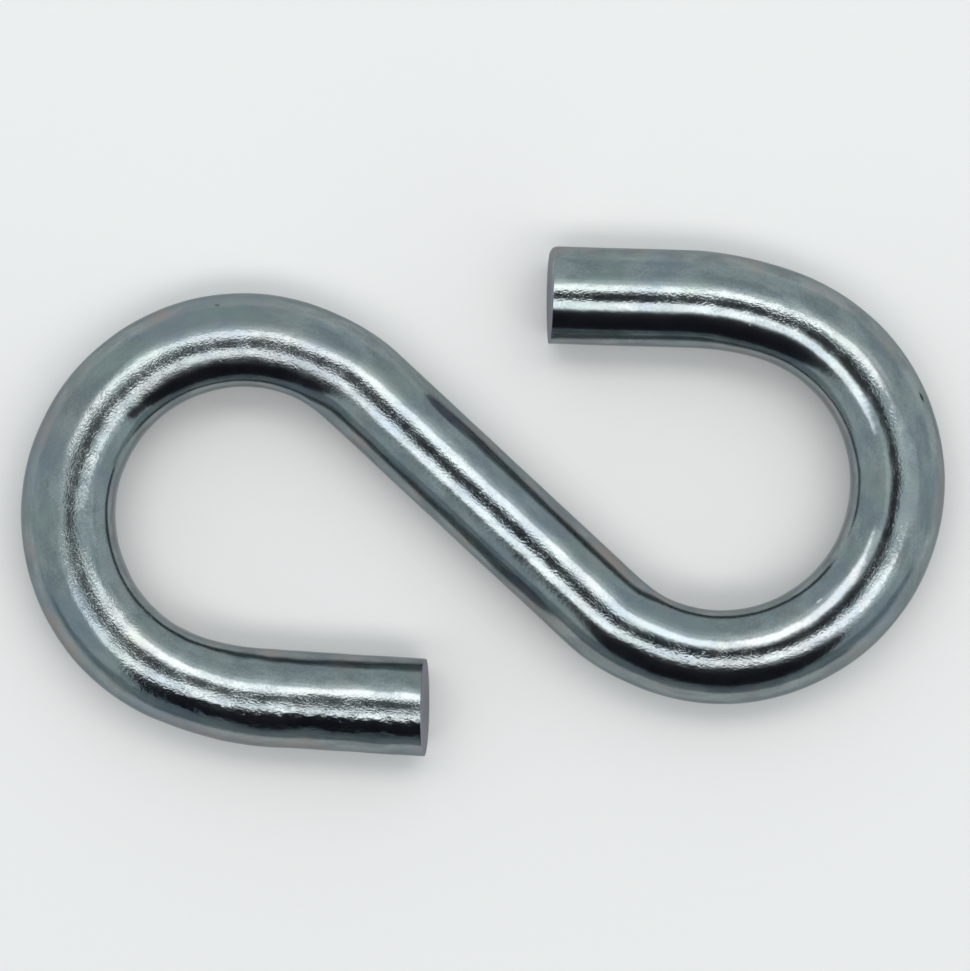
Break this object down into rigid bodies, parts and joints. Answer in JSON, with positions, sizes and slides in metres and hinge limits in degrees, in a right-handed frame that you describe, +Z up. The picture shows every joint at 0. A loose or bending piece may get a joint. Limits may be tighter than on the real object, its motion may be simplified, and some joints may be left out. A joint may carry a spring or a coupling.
{
  "type": "s hook",
  "caption": "S-shaped hook bent from one length of round zinc-plated steel wire, with an open hook at each end, for joining chain, rings or rope.",
  "frame": {"origin": "on the surface the hook lies on, under the middle of the shank, which is the centre of the S", "axes": "+X along the length of the S, within a degree and a half of both straight tips, +Y across it towards the upper tip, +Z up, square to the plane of the hook"},
  "size_m": [0.0472, 0.0266, 0.005],
  "materials": {
    "zinc_plate": "gloss"
  },
  "bodies": {
    "root": {"s_hook": "zinc_plate"}
  },
  "joints": []
}
